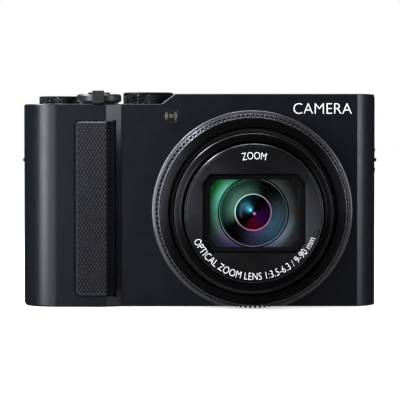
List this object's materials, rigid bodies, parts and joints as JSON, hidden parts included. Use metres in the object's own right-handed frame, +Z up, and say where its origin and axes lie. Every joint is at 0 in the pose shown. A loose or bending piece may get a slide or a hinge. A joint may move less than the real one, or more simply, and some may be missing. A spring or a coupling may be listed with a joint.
{
  "type": "compact digital camera",
  "caption": "Compact digital camera with a retracting zoom lens and lens barrier, control ring, top dials, pop-up flash, electronic finder and rear screen.",
  "frame": {"origin": "middle of the underside, on the base plate", "axes": "+X to the right as seen from in front, -Y the way the lens looks, +Z up"},
  "size_m": [0.1112, 0.0632, 0.0675],
  "materials": {
    "casing": "satin powder coat, near black",
    "grip": "moulded rubber with a diamond pattern",
    "collar": "black anodised, satin",
    "control_ring": "black anodised, turned and toothed",
    "barrel": "black anodised, fine turned lines",
    "name_ring": "black anodised, spun face",
    "dial": "black anodised, knurled edge",
    "button": "black anodised, satin",
    "black_plastic": "fine moulded texture",
    "gloss_black": "gloss",
    "lens_glass": "coated, polished",
    "screen": "hard coated window",
    "lamp_window": "translucent",
    "flash_window": "prismatic, clear",
    "steel": "satin",
    "nickel": "plated",
    "board": "solder mask",
    "sensor": "polished cover glass",
    "battery_wrap": "satin",
    "card": "satin",
    "eyecup": "soft, matte"
  },
  "bodies": {
    "camera_body": {"front_casing": "casing", "rear_casing": "casing", "top_cover": "casing", "bottom_cover": "casing", "grip_rubber": "grip", "lens_collar": "collar", "lens_housing": "black_plastic", "shutter_unit": "black_plastic", "image_sensor": "sensor", "sensor_board": "board", "main_board": "board", "button_board": "board", "battery": "battery_wrap", "battery_holder": "black_plastic", "memory_card": "card", "lcd_module": "steel", "lcd_window": "screen", "finder_module": "black_plastic", "eyepiece_lens": "lens_glass", "eyecup": "eyecup", "flash_hinge_pin": "steel", "af_lamp": "lamp_window", "tripod_socket": "steel", "strap_eyelet_right": "button", "strap_eyelet_left": "button", "usb_port": "nickel", "hdmi_port": "nickel", "flash_capacitor": "gloss_black"},
    "control_ring": {"control_ring": "control_ring"},
    "outer_barrel": {"outer_barrel": "barrel"},
    "inner_barrel": {"inner_barrel": "barrel", "name_ring": "name_ring", "barrier_frame": "black_plastic", "front_element": "lens_glass", "front_cell": "black_plastic", "second_element": "lens_glass"},
    "barrier_blade_upper": {"barrier_blade_upper": "barrel"},
    "barrier_blade_lower": {"barrier_blade_lower": "barrel"},
    "barrier_leaf_upper": {"barrier_leaf_upper": "barrel"},
    "barrier_leaf_lower": {"barrier_leaf_lower": "barrel"},
    "mode_dial": {"mode_dial": "dial"},
    "control_dial": {"control_dial": "dial"},
    "zoom_lever": {"zoom_lever": "button"},
    "shutter_button": {"shutter_button": "button"},
    "power_switch": {"power_switch": "black_plastic"},
    "movie_button": {"movie_button": "button"},
    "flash_head": {"flash_head": "casing", "flash_window": "flash_window"},
    "diopter_dial": {"diopter_dial": "black_plastic"},
    "lock_button": {"lock_button": "black_plastic"},
    "play_button": {"play_button": "black_plastic"},
    "display_button": {"display_button": "black_plastic"},
    "delete_button": {"delete_button": "black_plastic"},
    "finder_button": {"finder_button": "black_plastic"},
    "cursor_pivot": {"cursor_pivot": "steel"},
    "cursor_pad": {"cursor_pad": "black_plastic"},
    "set_button": {"set_button": "black_plastic"},
    "battery_door": {"battery_door": "casing"},
    "battery_door_latch": {"battery_door_latch": "black_plastic"},
    "port_door": {"port_door": "casing"}
  },
  "joints": [
    {"name": "control_ring_turn", "type": "hinge", "parent": "camera_body", "child": "control_ring", "pos_m": [0.01637, -0.02, 0.03], "axis": [0, -1, 0], "continuous": true},
    {"name": "lens_outer_slide", "type": "slide", "parent": "camera_body", "child": "outer_barrel", "axis": [0, -1, 0], "range_m": [-0.009, 0.01]},
    {"name": "lens_inner_slide", "type": "slide", "parent": "outer_barrel", "child": "inner_barrel", "axis": [0, -1, 0], "range_m": [-0.009, 0.01]},
    {"name": "barrier_blade_upper_turn", "type": "hinge", "parent": "inner_barrel", "child": "barrier_blade_upper", "pos_m": [0.03237, -0.04, 0.038], "axis": [0, -1, 0], "range_deg": [0, 36]},
    {"name": "barrier_blade_lower_turn", "type": "hinge", "parent": "inner_barrel", "child": "barrier_blade_lower", "pos_m": [0.00037, -0.04, 0.022], "axis": [0, -1, 0], "range_deg": [0, 36]},
    {"name": "barrier_leaf_upper_turn", "type": "hinge", "parent": "inner_barrel", "child": "barrier_leaf_upper", "pos_m": [0.03237, -0.04, 0.038], "axis": [0, -1, 0], "range_deg": [0, 18]},
    {"name": "barrier_leaf_lower_turn", "type": "hinge", "parent": "inner_barrel", "child": "barrier_leaf_lower", "pos_m": [0.00037, -0.04, 0.022], "axis": [0, -1, 0], "range_deg": [0, 18]},
    {"name": "mode_dial_turn", "type": "hinge", "parent": "camera_body", "child": "mode_dial", "pos_m": [-0.0163, 0.002, 0.065], "axis": [0, 0, 1], "continuous": true},
    {"name": "control_dial_turn", "type": "hinge", "parent": "camera_body", "child": "control_dial", "pos_m": [-0.0448, 0.007, 0.065], "axis": [0, 0, 1], "continuous": true},
    {"name": "zoom_lever_turn", "type": "hinge", "parent": "camera_body", "child": "zoom_lever", "pos_m": [-0.0316, -0.0085, 0.065], "axis": [0, 0, 1], "range_deg": [-20, 20], "stiffness_Nm_per_rad": 0.02},
    {"name": "shutter_button_press", "type": "slide", "parent": "camera_body", "child": "shutter_button", "axis": [0, 0, -1], "range_m": [0, 0.0008], "stiffness_N_per_m": 800, "springref_m": -0.0003},
    {"name": "power_switch_slide", "type": "slide", "parent": "camera_body", "child": "power_switch", "axis": [1, 0, 0], "range_m": [0, 0.003]},
    {"name": "movie_button_press", "type": "slide", "parent": "camera_body", "child": "movie_button", "axis": [0, 0, -1], "range_m": [0, 0.0005], "stiffness_N_per_m": 800, "springref_m": -0.0003},
    {"name": "flash_rise", "type": "hinge", "parent": "camera_body", "child": "flash_head", "pos_m": [0.034, -0.0025, 0.065], "axis": [-1, 0, 0], "range_deg": [0, 75]},
    {"name": "diopter_dial_turn", "type": "hinge", "parent": "camera_body", "child": "diopter_dial", "pos_m": [0.0483, 0.014, 0.0555], "axis": [0, -1, 0], "range_deg": [-120, 120]},
    {"name": "lock_button_press", "type": "slide", "parent": "camera_body", "child": "lock_button", "axis": [0, -1, 0], "range_m": [0, 0.0005], "stiffness_N_per_m": 800, "springref_m": -0.0003},
    {"name": "play_button_press", "type": "slide", "parent": "camera_body", "child": "play_button", "axis": [0, -1, 0], "range_m": [0, 0.0005], "stiffness_N_per_m": 800, "springref_m": -0.0003},
    {"name": "display_button_press", "type": "slide", "parent": "camera_body", "child": "display_button", "axis": [0, -1, 0], "range_m": [0, 0.0005], "stiffness_N_per_m": 800, "springref_m": -0.0003},
    {"name": "delete_button_press", "type": "slide", "parent": "camera_body", "child": "delete_button", "axis": [0, -1, 0], "range_m": [0, 0.0005], "stiffness_N_per_m": 800, "springref_m": -0.0003},
    {"name": "finder_button_press", "type": "slide", "parent": "camera_body", "child": "finder_button", "axis": [0, -1, 0], "range_m": [0, 0.0005], "stiffness_N_per_m": 800, "springref_m": -0.0003},
    {"name": "set_button_press", "type": "slide", "parent": "camera_body", "child": "set_button", "axis": [0, -1, 0], "range_m": [0, 0.0005], "stiffness_N_per_m": 800, "springref_m": -0.0003},
    {"name": "cursor_left_right", "type": "hinge", "parent": "camera_body", "child": "cursor_pivot", "pos_m": [-0.039, 0.0121, 0.026], "axis": [0, 0, 1], "range_deg": [-3, 3], "stiffness_Nm_per_rad": 0.1},
    {"name": "cursor_up_down", "type": "hinge", "parent": "cursor_pivot", "child": "cursor_pad", "pos_m": [-0.039, 0.0121, 0.026], "axis": [1, 0, 0], "range_deg": [-3, 3], "stiffness_Nm_per_rad": 0.1},
    {"name": "battery_door_turn", "type": "hinge", "parent": "camera_body", "child": "battery_door", "pos_m": [-0.0127, 0, 0.00075], "axis": [0, -1, 0], "range_deg": [0, 90]},
    {"name": "battery_door_latch_slide", "type": "slide", "parent": "battery_door", "child": "battery_door_latch", "axis": [1, 0, 0], "range_m": [0, 0.0025]},
    {"name": "port_door_turn", "type": "hinge", "parent": "camera_body", "child": "port_door", "pos_m": [-0.05474, 0.001, 0.024], "axis": [0, 0, 1], "range_deg": [0, 100]}
  ],
  "couplings": [
    {"joint": "lens_inner_slide", "follows": "lens_outer_slide", "ratio": 1},
    {"joint": "barrier_blade_lower_turn", "follows": "barrier_blade_upper_turn", "ratio": 1},
    {"joint": "barrier_leaf_upper_turn", "follows": "barrier_blade_upper_turn", "ratio": 0.5},
    {"joint": "barrier_leaf_lower_turn", "follows": "barrier_blade_upper_turn", "ratio": 0.5}
  ]
}
